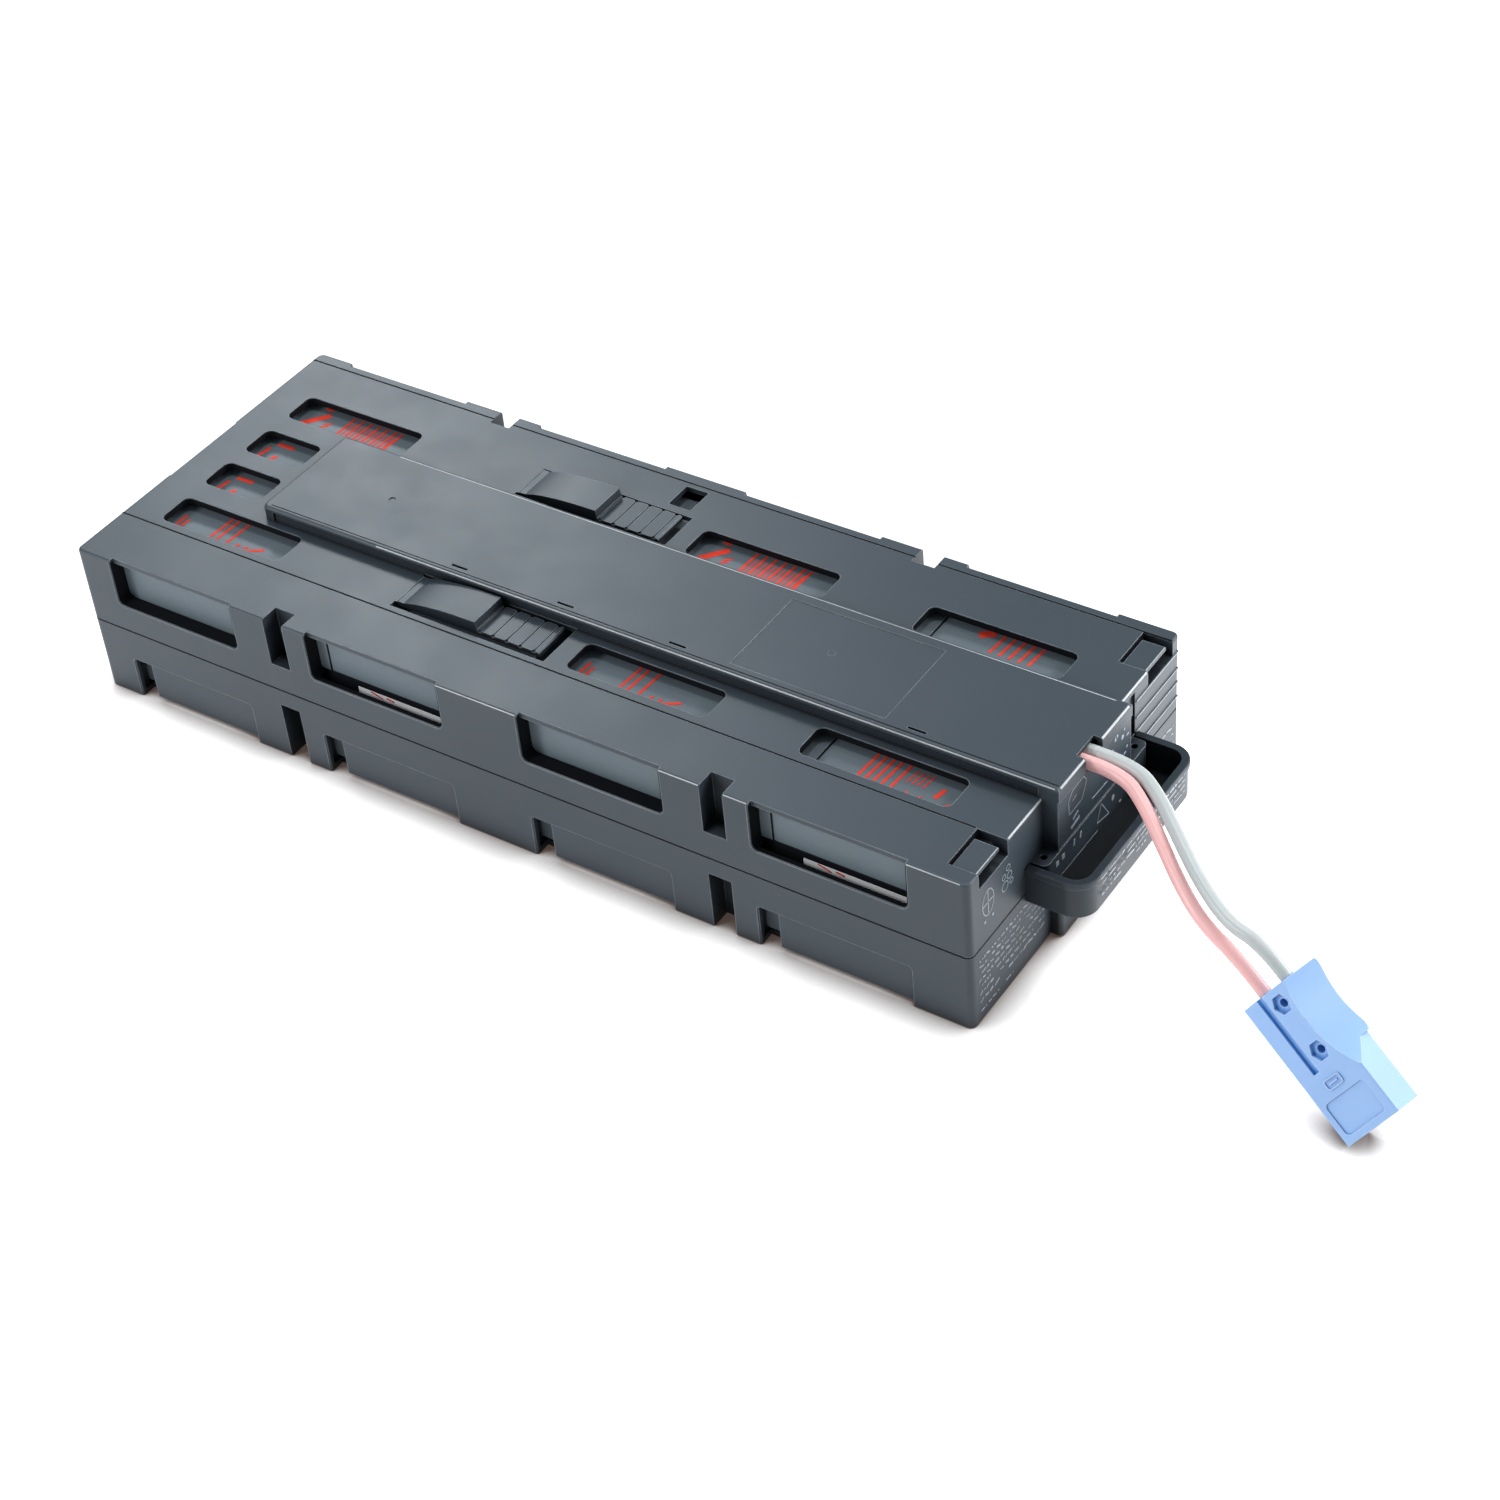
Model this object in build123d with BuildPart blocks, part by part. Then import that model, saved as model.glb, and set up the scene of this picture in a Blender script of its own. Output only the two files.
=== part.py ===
"""Replacement battery cartridge for a rack-mounted power supply.

Two moulded half shells hold four sealed lead-acid batteries that lie in one row.
A wiring duct runs along the top, a pull tray closes the cable end, and two short
leads end in a two-pole battery connector.

Stations are measured in millimetres: x from the blind end, y from the front long
side and z from the floor. The part's own origin is the middle of its underside.
"""
from math import radians, sin, tan
import os

from build123d import *

# Overall sizes
overall_length = 462.0
case_length = 435.0
width = 165.0
height = 73.7
seam = 37.0
seam_chamfer = 0.4
wall = 2.5
plate = 2.5

# Batteries: 12 V blocks of 151 x 65 x 94 mm that lie on their largest face
battery_width = 151.0
battery_thickness = 65.0
battery_height = 94.0
battery_starts = (4.5, 118.0, 219.5, 333.5)
terminal_sides = (1, -1, 1, -1)
lid_depth = 11.5
lid_lip = 0.3
cell_wall = 2.0
side_gap = (width - battery_width) / 2
battery_floor = wall
battery_top = battery_floor + battery_thickness

# Terminals and their push-on receptacles
tab_width = 6.35
tab_thick = 0.8
tab_length = 6.3
tab_level = 55.0
tab_rows = (side_gap + 12.5, width - side_gap - 12.5)
receptacle_half = 4.6

# Wiring duct on the top
duct_x = (58.0, 442.0)
duct_y = (55.0, 112.0)
duct_top = 80.0
duct_wall = 1.8
channel_x = (66.0, 436.0)
channel_y = (61.0, 106.0)

# Leads and inner wires
lead_diameter = 5.5
link_diameter = 3.6
positive_row = 79.0
negative_row = 85.2
lead_level = 75.2
link_row = 93.0
link_level = 73.0

# Latches: one flexing finger near each long side
hinge_x = 146.0
finger_end = 217.2
finger_thick = 2.3
hinge_radius = 1.25
hinge_level = height - plate / 2
hinge_clearance = 0.06
finger_rows = ((36.0, 54.0), (120.0, 138.0))
slot_rows = ((32.4, 55.7), (118.0, 138.7))
slot_x = (144.3, 222.0)

# Side windows and bay notches
window_spans = ((18.8, 84.5), (124.6, 191.8), (232.0, 299.0), (340.0, 408.4))
upper_window_sill = 50.7
lower_window_head = 20.4
notch_spans = ((103.0, 113.2), (318.0, 328.6))
notch_depth = 9.0
notch_wall = 2.0
upper_notch_floor = 50.5
lower_notch_head = 28.5
rim_bevel = 0.7

# Low ribs on the end wall beside the tray
rib_levels = (43.3, 50.7, 57.6, 66.0)
rib_span = (127.8, 163.0)
rib_height = 0.35

# Pull tray at the cable end
tray_x = (435.0, 461.6)
tray_y = (40.0, 130.0)
tray_z = (33.0, 50.0)
tray_wall = 2.5
tray_corner = 10.0
tray_floor = tray_z[0] + tray_wall
tray_screw_rows = (72.0, 114.0)
tray_screw_level = 16.0

# Screw posts between the batteries
posts = ((108.25, 60.0), (323.5, 108.0), (215.75, 20.0), (215.75, 113.0))
post_radius = 3.6
screw_well = 2.7
screw_seat = 26.0

# Battery connector, tilted with one far corner on the floor
plug_length = 60.0
plug_width = 30.0
plug_depth = 14.5
plug_corner = (532.1, 26.2, 35.1)
plug_axis = (0.8192, -0.2455, -0.5183)
plug_face = (-0.1152, -0.9558, 0.2707)
lead_entries = (9.2, 21.6)
entry_depth = 5.0


def spot(x, y, z=0.0):
    """The point at three stations, in the part's own frame."""
    return Vector(x - overall_length / 2, y - width / 2, z)


def middle(span):
    return (span[0] + span[1]) / 2


def block(x, y, z, mode=Mode.ADD):
    """A box between two stations along each direction."""
    size = (x[1] - x[0], y[1] - y[0], z[1] - z[0])
    with Locations(spot(middle(x), middle(y), middle(z))):
        Box(*size, mode=mode)


def cut_plate(spans, corner, depth=plate):
    """Rounded openings cut downwards from the top face."""
    with BuildSketch(Plane.XY.offset(height)) as openings:
        for x, y in spans:
            with Locations(spot(middle(x), middle(y))):
                RectangleRounded(x[1] - x[0], y[1] - y[0], corner)
    extrude(openings.sketch, amount=-depth, mode=Mode.SUBTRACT)


def both_sides(depth):
    """The strips of a given depth inside the front and the rear long side."""
    return ((-1.0, depth), (width - depth, width + 1.0))


def cut_sides(spans, level, corner, depth):
    """Openings with rounded corners and bevelled rims, cut into both long sides."""
    for side in (-1, 1):
        for start, grow, taper, reach in ((1, 0, 0, depth + 1), (0, rim_bevel, 45, rim_bevel)):
            with BuildSketch(Plane.XZ.offset(-side * (width / 2 + start))) as openings:
                for x in spans:
                    with Locations((spot(middle(x), 0).X, middle(level))):
                        RectangleRounded(x[1] - x[0] + 2 * grow, level[1] - level[0] + 2 * grow,
                                         corner + grow)
            extrude(openings.sketch, amount=side * reach, taper=taper, mode=Mode.SUBTRACT)


def route_radii(points):
    """Tangent arcs of 0.45 of the shorter run at every corner of a route."""
    runs = [b - a for a, b in zip(points, points[1:])]
    radii = []
    for before, after in zip(runs, runs[1:]):
        turn = radians(before.get_angle(after))
        shorter = min(before.length, after.length)
        radii.append(0.45 * shorter / tan(turn / 2))
    return radii


def wire(points, diameter, radii=None):
    """A round wire along straight runs joined by tangent arcs."""
    radii = radii or route_radii(points)
    with BuildPart() as tube:
        with BuildLine() as path:
            FilletPolyline(*points, radius=radii)
        centreline = path.wires()[0]
        with BuildSketch(Plane(origin=centreline @ 0, z_dir=centreline % 0)) as section:
            Circle(diameter / 2)
        sweep(sections=section.sketch, path=centreline)
    expected = section.sketch.area * centreline.length
    print(f"wire {centreline.length:.1f} mm, volume ratio {tube.part.volume / expected:.3f}, "
          f"radii {[round(r, 1) for r in radii]}")
    return tube


def save(builder, name):
    """Label a finished piece and write its file."""
    builder.part.label = name
    export_step(builder.part, f"parts/{name}.step")


os.makedirs("parts", exist_ok=True)

# ---------------------------------------------------------------- upper shell
top_windows = (
    ((18.4, 83.6), (33.4, 51.2)), ((17.6, 48.7), (62.2, 79.6)),
    ((17.6, 48.7), (89.2, 106.7)), ((18.2, 83.0), (117.8, 135.2)),
    ((231.2, 298.3), (33.6, 51.0)), ((231.2, 298.3), (117.4, 135.0)),
    ((340.2, 407.4), (33.6, 51.0)), ((340.2, 407.4), (117.4, 134.8)),
)
end_step = (59.7, 104.5)
tongues = (((7.8, 29.0), (7.0, 24.6)), ((138.0, 158.6), (137.5, 155.0)))
tongue_x = (423.6, 433.8)
tongue_z = (71.4, 72.9)
pocket_x = (422.2, 436.0)
catch_x = (428.6, 436.0)
catch_floor = 66.2

with BuildPart() as upper_shell:
    block((0, case_length), (0, width), (seam, height))
    fillet(upper_shell.edges().filter_by(Axis.Z), 3.0)
    fillet(upper_shell.edges().group_by(Axis.Z)[-1], 1.2)
    chamfer(upper_shell.edges().group_by(Axis.Z)[0], seam_chamfer)
    block((wall, case_length - wall), (wall, width - wall), (seam - 1, height - plate),
          Mode.SUBTRACT)
    for span in notch_spans:
        for side in ((0.5, notch_depth + notch_wall), (width - notch_depth - notch_wall, width - 0.5)):
            block((span[0] - notch_wall, span[1] + notch_wall), side,
                  (upper_notch_floor - notch_wall, height - 0.5))
    for x in (15.0, 88.0, 120.5, 195.0, 228.0, 302.0, 336.5, 412.0):
        for y in ((1.0, side_gap), (width - side_gap, width - 1.0)):
            block((x, x + 2.0), y, (seam, height - 1))
    for x, y in posts:
        with BuildSketch(Plane.XY.offset(seam)):
            with Locations(spot(x, y)):
                Circle(post_radius)
        extrude(amount=height - plate - seam + 0.5)
    for opening, tongue in tongues:
        around = (opening[0] - 1.5, opening[1] + 1.5)
        block((pocket_x[0] - 1.5, case_length - 0.5), around, (battery_top + 0.3, height - 0.5))
        block((catch_x[0] - 0.8, case_length - 0.5), around, (catch_floor - 1.5, height - 0.5))
        block(pocket_x, opening, (battery_top + 1.8, height + 1), Mode.SUBTRACT)
        block(catch_x, opening, (catch_floor, height + 1), Mode.SUBTRACT)
        block(tongue_x, tongue, tongue_z)
    cut_plate(top_windows, 3.5)
    cut_plate((((207.0, 218.2), (142.6, 156.4)),), 1.0)
    block(channel_x, channel_y, (height - plate - 1, height + 1), Mode.SUBTRACT)
    for row, finger in zip(slot_rows, finger_rows):
        block((hinge_x, slot_x[1]), row, (height - plate - 1, height + 1), Mode.SUBTRACT)
        for gap in ((row[0], finger[0] - 0.3), (finger[1] + 0.3, row[1])):
            block((slot_x[0], hinge_x + 1), gap, (height - plate - 1, height + 1), Mode.SUBTRACT)
        with BuildSketch(Plane.XZ.offset(-spot(0, finger[0] - 0.3).Y)):
            with Locations(Vector(spot(hinge_x, 0).X, hinge_level)):
                Circle(hinge_radius + hinge_clearance)
        extrude(amount=-(finger[1] - finger[0] + 0.6), mode=Mode.SUBTRACT)
    cut_sides(window_spans, (upper_window_sill, height + 8), 3.0, wall)
    for x in notch_spans:
        for y in both_sides(notch_depth):
            block(x, y, (upper_notch_floor, height + 1), Mode.SUBTRACT)
    for y, reach in ((29.3, 421.5), (158.9, case_length + 1)):
        block((-1, reach), (y - 0.3, y + 0.3), (height - 0.45, height + 1), Mode.SUBTRACT)
    block((-1, 1.2), end_step, (seam + 4, height + 1), Mode.SUBTRACT)
    for x, y in posts:
        with BuildSketch(Plane.XY.offset(seam - 0.5)):
            with Locations(spot(x, y)):
                Circle(1.25)
        extrude(amount=16, mode=Mode.SUBTRACT)
    block((case_length - 1.2, case_length + 1), (duct_y[1] + 0.6, rib_span[0] - 0.6),
          (tray_z[1] + 0.4, height - 2.4), Mode.SUBTRACT)
    for level in rib_levels:
        block((case_length - 0.5, case_length + rib_height), rib_span,
              (level - 0.35, level + 0.35))
save(upper_shell, "upper_shell")

# ---------------------------------------------------------------- lower shell
with BuildPart() as lower_shell:
    block((0, case_length), (0, width), (0, seam))
    fillet(lower_shell.edges().filter_by(Axis.Z), 3.0)
    fillet(lower_shell.edges().group_by(Axis.Z)[0], 1.0)
    chamfer(lower_shell.edges().group_by(Axis.Z)[-1], seam_chamfer)
    block((wall, case_length - wall), (wall, width - wall), (wall, seam + 1), Mode.SUBTRACT)
    for span in notch_spans:
        for side in ((0.5, notch_depth + notch_wall), (width - notch_depth - notch_wall, width - 0.5)):
            block((span[0] - notch_wall, span[1] + notch_wall), side,
                  (1.0, lower_notch_head + notch_wall))
    for x in (15.0, 88.0, 120.5, 195.0, 228.0, 302.0, 336.5, 412.0):
        for y in ((1.0, side_gap), (width - side_gap, width - 1.0)):
            block((x, x + 2.0), y, (1.0, seam))
    for x, y in posts:
        with BuildSketch(Plane.XY.offset(1.0)):
            with Locations(spot(x, y)):
                Circle(post_radius)
        extrude(amount=seam - 1.0)
    cut_sides(window_spans, (-8, lower_window_head), 1.5, side_gap + lid_lip)
    for x in notch_spans:
        for y in both_sides(notch_depth):
            block(x, y, (-1, lower_notch_head), Mode.SUBTRACT)
    for x, y in posts:
        with Locations(Plane.XY):
            with Locations(spot(x, y, 0)):
                Cylinder(screw_well, screw_seat, align=(Align.CENTER, Align.CENTER, Align.MIN),
                         mode=Mode.SUBTRACT)
                Cylinder(1.7, seam + 1, align=(Align.CENTER, Align.CENTER, Align.MIN),
                         mode=Mode.SUBTRACT)
    for row in tray_screw_rows:
        with Locations(spot(case_length, row, tray_screw_level)):
            Cylinder(1.5, 8.0, rotation=(0, 90, 0), mode=Mode.SUBTRACT)
save(lower_shell, "lower_shell")

# -------------------------------------------------------- screws of the shells
with BuildPart() as shell_screws:
    for x, y in posts:
        with Locations(spot(x, y, screw_seat)):
            Cylinder(2.45, 2.0, align=(Align.CENTER, Align.CENTER, Align.MAX))
            Cylinder(1.2, 24.0, align=(Align.CENTER, Align.CENTER, Align.MIN))
        with Locations(spot(x, y, screw_seat - 2.0)):
            Box(2.8, 0.7, 1.6, mode=Mode.SUBTRACT)
            Box(0.7, 2.8, 1.6, mode=Mode.SUBTRACT)
save(shell_screws, "shell_screws")


# ------------------------------------------------------------------- batteries
def battery_pieces(start, side, number):
    """Case, lid, plate stacks, vent cover and terminal tabs of one battery."""
    end = start + battery_height
    y = (side_gap, width - side_gap)
    z = (battery_floor, battery_top)
    inset_y = (y[0] + lid_lip, y[1] - lid_lip)
    inset_z = (z[0], z[1] - lid_lip)
    if side > 0:
        case_x, lid_x = (start, end - lid_depth), (end - lid_depth, end)
    else:
        case_x, lid_x = (start + lid_depth, end), (start, start + lid_depth)
    face = lid_x[1] if side > 0 else lid_x[0]
    bottom = case_x[0] if side > 0 else case_x[1]
    cell = (inset_y[1] - inset_y[0] - 7 * cell_wall) / 6

    def depth(near, far):
        """A span measured inwards from the outer face of the battery's bottom."""
        return tuple(sorted((bottom + side * near, bottom + side * far)))

    with BuildPart() as case:
        block(case_x, inset_y, inset_z)
        fillet(case.edges().filter_by(Axis.X), 2.0)
        for i in range(6):
            low = inset_y[0] + cell_wall + i * (cell + cell_wall)
            block(depth(cell_wall, 90), (low, low + cell),
                  (inset_z[0] + cell_wall, inset_z[1] - cell_wall), Mode.SUBTRACT)
    save(case, f"battery_case_{number}")

    with BuildPart() as stacks:
        for i in range(6):
            low = inset_y[0] + cell_wall + i * (cell + cell_wall)
            block(depth(cell_wall, 52.0), (low + 1.0, low + cell - 1.0), (z[0] + 5.0, z[1] - 6.0))
    save(stacks, f"plate_stacks_{number}")

    with BuildPart() as lid:
        block(lid_x, y, z)
        fillet(lid.edges().filter_by(Axis.X), 2.0)
        inner = (face - side * 4.0, face - side * (lid_depth + 1.0))
        block(tuple(sorted(inner)), (y[0] + 2.5, y[1] - 2.5), (z[0] + 2.5, z[1] - 2.5),
              Mode.SUBTRACT)
        recess = tuple(sorted((face - side * 1.2, face + side)))
        block(recess, (middle(y) - 48.0, middle(y) + 48.0), (z[0] + 12.0, z[0] + 36.0),
              Mode.SUBTRACT)
    save(lid, f"battery_lid_{number}")

    with BuildPart() as vent_cover:
        span = tuple(sorted((face - side * 1.2, face)))
        block(span, (middle(y) - 47.8, middle(y) + 47.8), (z[0] + 12.2, z[0] + 35.8))
    save(vent_cover, f"vent_cover_{number}")

    with BuildPart() as terminals:
        for row in tab_rows:
            foot = tuple(sorted((face, face + side * 0.8)))
            blade = tuple(sorted((face + side * 0.5, face + side * tab_length)))
            block(foot, (row - 3.6, row + 3.6), (tab_level - 3.0, tab_level + 3.0))
            block(blade, (row - tab_width / 2, row + tab_width / 2),
                  (tab_level - tab_thick / 2, tab_level + tab_thick / 2))
    save(terminals, f"terminals_{number}")


for number, (start, side) in enumerate(zip(battery_starts, terminal_sides), 1):
    battery_pieces(start, side, number)

# Round stickers' job is done by one plain white strip on each battery's long side.
with BuildPart() as battery_stickers:
    for start, side in zip(battery_starts, terminal_sides):
        first = start + 4.0 if side > 0 else start + battery_height - 71.0
        front = (side_gap + 0.05, side_gap + lid_lip)
        rear = (width - side_gap - lid_lip, width - side_gap - 0.05)
        block((first + 2, first + 48), front if side < 0 else rear, (20.0, 49.0))
save(battery_stickers, "battery_stickers")

# Foam that keeps the row from shifting
with BuildPart() as foam_spacers:
    block((wall, battery_starts[0]), (20, 145), (8, 60))
    block((battery_starts[1] + battery_height, battery_starts[2]), (30, 100), (6, 60))
    block((battery_starts[1] + battery_height, battery_starts[2]), (120, 157), (6, 67))
    block((battery_starts[3] + battery_height, case_length - wall), (20, 145), (6, 60))
save(foam_spacers, "foam_spacers")

# ---------------------------------------------------------- series connections
faces = [
    start + battery_height if side > 0 else start
    for start, side in zip(battery_starts, terminal_sides)
]
grips = [face + side * 4.1 for face, side in zip(faces, terminal_sides)]

with BuildPart() as receptacles:
    for face, side in zip(faces, terminal_sides):
        for row in tab_rows:
            shell = tuple(sorted((face + side * 1.0, face + side * 7.2)))
            slot = tuple(sorted((face + side * 0.9, face + side * (tab_length + 0.1))))
            block(shell, (row - receptacle_half, row + receptacle_half),
                  (tab_level - 2.3, tab_level + 2.3))
            block(slot, (row - tab_width / 2 - 0.1, row + tab_width / 2 + 0.1),
                  (tab_level - tab_thick / 2 - 0.1, tab_level + tab_thick / 2 + 0.1),
                  Mode.SUBTRACT)
save(receptacles, "receptacles")

front_grip = tab_rows[0] + receptacle_half
rear_grip = tab_rows[1] - receptacle_half
bend = (grips[1] - grips[0]) / 2 - 0.05
jumper_front = wire(
    [spot(grips[0], front_grip, tab_level), spot(grips[0], front_grip + 17, tab_level),
     spot(grips[1], front_grip + 17, tab_level), spot(grips[1], front_grip, tab_level)],
    link_diameter, [bend, bend])
save(jumper_front, "jumper_front")
bend = (grips[3] - grips[2]) / 2 - 0.05
jumper_rear = wire(
    [spot(grips[2], rear_grip, tab_level), spot(grips[2], rear_grip - 17, tab_level),
     spot(grips[3], rear_grip - 17, tab_level), spot(grips[3], rear_grip, tab_level)],
    link_diameter, [bend, bend])
save(jumper_rear, "jumper_rear")

fuse_x = (182.0, 218.0)
link_to_fuse = wire(
    [spot(grips[1], rear_grip, tab_level), spot(grips[1], 108, tab_level),
     spot(grips[1] + 1.2, 97, link_level), spot(131, link_row, link_level),
     spot(fuse_x[0], link_row, link_level)],
    link_diameter)
save(link_to_fuse, "link_to_fuse")
link_from_fuse = wire(
    [spot(fuse_x[1], link_row, link_level), spot(298, link_row, link_level),
     spot(grips[2], 92, link_level), spot(grips[2], 84, tab_level),
     spot(grips[2], front_grip, tab_level)],
    link_diameter)
save(link_from_fuse, "link_from_fuse")

with BuildPart() as fuse_holder:
    with BuildSketch(Plane.YZ.offset(spot(fuse_x[0], 0).X)):
        with Locations((spot(0, link_row).Y, link_level)):
            Circle(4.4)
    extrude(amount=22)
    fillet(fuse_holder.edges().group_by(Axis.X)[0], 1.2)
save(fuse_holder, "fuse_holder")
with BuildPart() as fuse_cap:
    with BuildSketch(Plane.YZ.offset(spot(fuse_x[0] + 22, 0).X)):
        with Locations((spot(0, link_row).Y, link_level)):
            Circle(4.6)
    extrude(amount=fuse_x[1] - fuse_x[0] - 22)
    fillet(fuse_cap.edges().group_by(Axis.X)[-1], 1.2)
save(fuse_cap, "fuse_cap")

inner_negative = wire(
    [spot(grips[0], rear_grip, tab_level), spot(grips[0], 106, tab_level),
     spot(grips[0] + 1.8, 92, lead_level), spot(120, negative_row, lead_level),
     spot(duct_x[1], negative_row, lead_level)],
    lead_diameter)
save(inner_negative, "inner_negative_lead")
inner_positive = wire(
    [spot(grips[3], front_grip, tab_level), spot(grips[3], 58, tab_level),
     spot(grips[3] + 1.8, 72, lead_level), spot(347, positive_row, lead_level),
     spot(duct_x[1], positive_row, lead_level)],
    lead_diameter)
save(inner_positive, "inner_positive_lead")

# ------------------------------------------------------------------ duct cover
cover_slots = (160.3, 214.0, 268.5, 378.2)
gate_marks = (106.0, 324.9)
label_x = (293.2, 363.8)
label_y = (60.3, 105.8)
end_face = duct_x[1] - 0.6
ledge_x = (435.0, 442.0)
ledge_y = (44.5, 125.5)
ledge_z = (tray_floor, tray_z[1])
ledge_holes = ((438.2, 49.2), (438.2, 120.8))
with BuildPart() as duct_cover:
    block(duct_x, duct_y, (height, duct_top))
    fillet(duct_cover.edges().filter_by(Axis.Z).group_by(Axis.X)[0], 3.0)
    block((case_length, end_face), duct_y, (ledge_z[0], duct_top - 2.5))
    fillet(duct_cover.edges().group_by(Axis.Z)[-1], 1.5)
    inner_y = (duct_y[0] + duct_wall, duct_y[1] - duct_wall)
    block((duct_x[0] + duct_wall, case_length + 1), inner_y, (height - 1, duct_top - duct_wall),
          Mode.SUBTRACT)
    block((case_length - 1, end_face - duct_wall), inner_y,
          (ledge_z[0] + duct_wall, duct_top - duct_wall), Mode.SUBTRACT)
    block((duct_x[1] - 4, duct_x[1] + 1), (positive_row - 3.4, negative_row + 3.4),
          (lead_level - 2.9, duct_top + 1), Mode.SUBTRACT)
    for x in cover_slots:
        block((x - 4.0, x + 4.0), (duct_y[0] + 4.4, duct_y[0] + 5.6), (duct_top - 3, duct_top + 1),
              Mode.SUBTRACT)
    for x in gate_marks:
        with Locations(spot(x, middle(duct_y) + 0.8, duct_top)):
            Cylinder(1.6, 0.8, mode=Mode.SUBTRACT)
    for y in ((duct_y[0] - 1, duct_y[0] + 0.8), (duct_y[1] - 0.8, duct_y[1] + 1)):
        block((duct_x[0] + 6, case_length - 2), y, (height - 1, duct_top - 1.9), Mode.SUBTRACT)
    block(label_x, label_y, (duct_top - 0.3, duct_top + 1), Mode.SUBTRACT)
    with BuildSketch(Plane.XY.offset(ledge_z[0])) as ledge:
        with Locations(spot(middle(ledge_x), middle(ledge_y))):
            Rectangle(ledge_x[1] - ledge_x[0], ledge_y[1] - ledge_y[0])
        fillet(ledge.vertices().group_by(Axis.X)[-1], 3.0)
    extrude(amount=ledge_z[1] - ledge_z[0])
    block((case_length - 1, ledge_x[1] - duct_wall), inner_y,
          (ledge_z[0] + duct_wall, ledge_z[1] + 1), Mode.SUBTRACT)
    for x, y in ledge_holes:
        with Locations(spot(x, y, ledge_z[1])):
            Cylinder(1.5, 12.0, mode=Mode.SUBTRACT)
save(duct_cover, "duct_cover")

# Clamp that holds both leads just inside the duct's end
clamp_x = (418.0, 430.0)
with BuildPart() as cable_clamp:
    block(clamp_x, (positive_row - 7, negative_row + 7), (battery_top, lead_level))
    with BuildSketch(Plane.YZ.offset(spot(clamp_x[0] - 1, 0).X)):
        for row in (positive_row, negative_row):
            with Locations((spot(0, row).Y, lead_level)):
                Circle(lead_diameter / 2 + 0.1)
    extrude(amount=20, mode=Mode.SUBTRACT)
save(cable_clamp, "cable_clamp")


# ------------------------------------------------------------------- pull tray
def tray_outline(level, inset):
    """The tray's plan at one level, with its two outer corners rounded."""
    x = (tray_x[0], tray_x[1] - inset)
    y = (tray_y[0] + inset, tray_y[1] - inset)
    with BuildSketch(Plane.XY.offset(level)) as outline:
        with Locations(spot(middle(x), middle(y))):
            Rectangle(x[1] - x[0], y[1] - y[0])
        fillet(outline.vertices().group_by(Axis.X)[-1], tray_corner - inset)
    return outline.sketch


flange_x = (case_length, case_length + 5.0)
flange_y = (59.0, 127.0)
with BuildPart() as pull_tray:
    extrude(tray_outline(tray_z[0], 0.8), amount=tray_z[1] - tray_z[0])
    extrude(tray_outline(tray_z[1] - 2.5, 0), amount=2.5)
    fillet(pull_tray.edges().group_by(Axis.Z)[-1].filter_by(Axis.X, reverse=True), 0.6)
    extrude(tray_outline(tray_floor, 3.4), amount=30, mode=Mode.SUBTRACT)
    with BuildSketch(Plane.XY.offset(1.0)) as flange:
        with Locations(spot(middle(flange_x), middle(flange_y))):
            Rectangle(flange_x[1] - flange_x[0], flange_y[1] - flange_y[0])
        fillet(flange.vertices().group_by(Axis.X)[-1], 2.0)
    extrude(amount=tray_z[0])
    for row in tray_screw_rows:
        with Locations(spot(case_length, row, tray_screw_level)):
            Cylinder(1.6, 20.0, rotation=(0, 90, 0), mode=Mode.SUBTRACT)
save(pull_tray, "pull_tray")

with BuildPart() as tray_screws:
    for row in tray_screw_rows:
        with Locations(spot(flange_x[1], row, tray_screw_level)):
            Cylinder(3.0, 1.8, rotation=(0, 90, 0), align=(Align.CENTER, Align.CENTER, Align.MIN))
            Cylinder(1.5, flange_x[1] - flange_x[0] + wall, rotation=(0, 90, 0),
                     align=(Align.CENTER, Align.CENTER, Align.MAX))
        with Locations(spot(flange_x[1] + 1.8, row, tray_screw_level)):
            Box(1.8, 3.2, 0.8, mode=Mode.SUBTRACT)
            Box(1.8, 0.8, 3.2, mode=Mode.SUBTRACT)
save(tray_screws, "tray_screws")

# --------------------------------------------------------------------- latches
ramp_start = 148.5
ramp_end = 185.5
ramp_height = 3.9
crease_rows = (187.4, 194.1, 200.9, 207.8, 214.6)
crease = 0.5


def latch(finger):
    """A finger with a curved catch ramp and a creased thumb pad, round at its hinge."""
    underside = height - finger_thick
    crest = (spot(ramp_end, 0).X, height + ramp_height)
    front = Plane.XZ.offset(-spot(0, finger[0]).Y)
    with BuildPart() as piece:
        with BuildSketch(front):
            with BuildLine():
                Polyline(
                    crest, (spot(ramp_end + 0.6, 0).X, height),
                    (spot(finger_end - 0.6, 0).X, height), (spot(finger_end, 0).X, height - 0.6),
                    (spot(finger_end, 0).X, underside), (spot(hinge_x, 0).X, underside),
                    (spot(hinge_x, 0).X, height), (spot(ramp_start, 0).X, height))
                Spline(
                    (spot(ramp_start, 0).X, height), (spot(158.0, 0).X, height + 2.2),
                    (spot(172.0, 0).X, height + 3.6), crest,
                    tangents=[(1.0, 0.35), (1.0, 0.0)])
            make_face()
            with Locations((spot(hinge_x, 0).X, hinge_level)):
                Circle(hinge_radius)
        extrude(amount=finger[0] - finger[1])
        for x in crease_rows:
            block((x - crease / 2, x + crease / 2), (finger[0] - 1, finger[1] + 1),
                  (height - 0.7, height + 0.1), Mode.SUBTRACT)
            for y in finger:
                with Locations(spot(x, y, height)):
                    Cylinder(0.9, 1.6, mode=Mode.SUBTRACT)
    return piece


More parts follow.
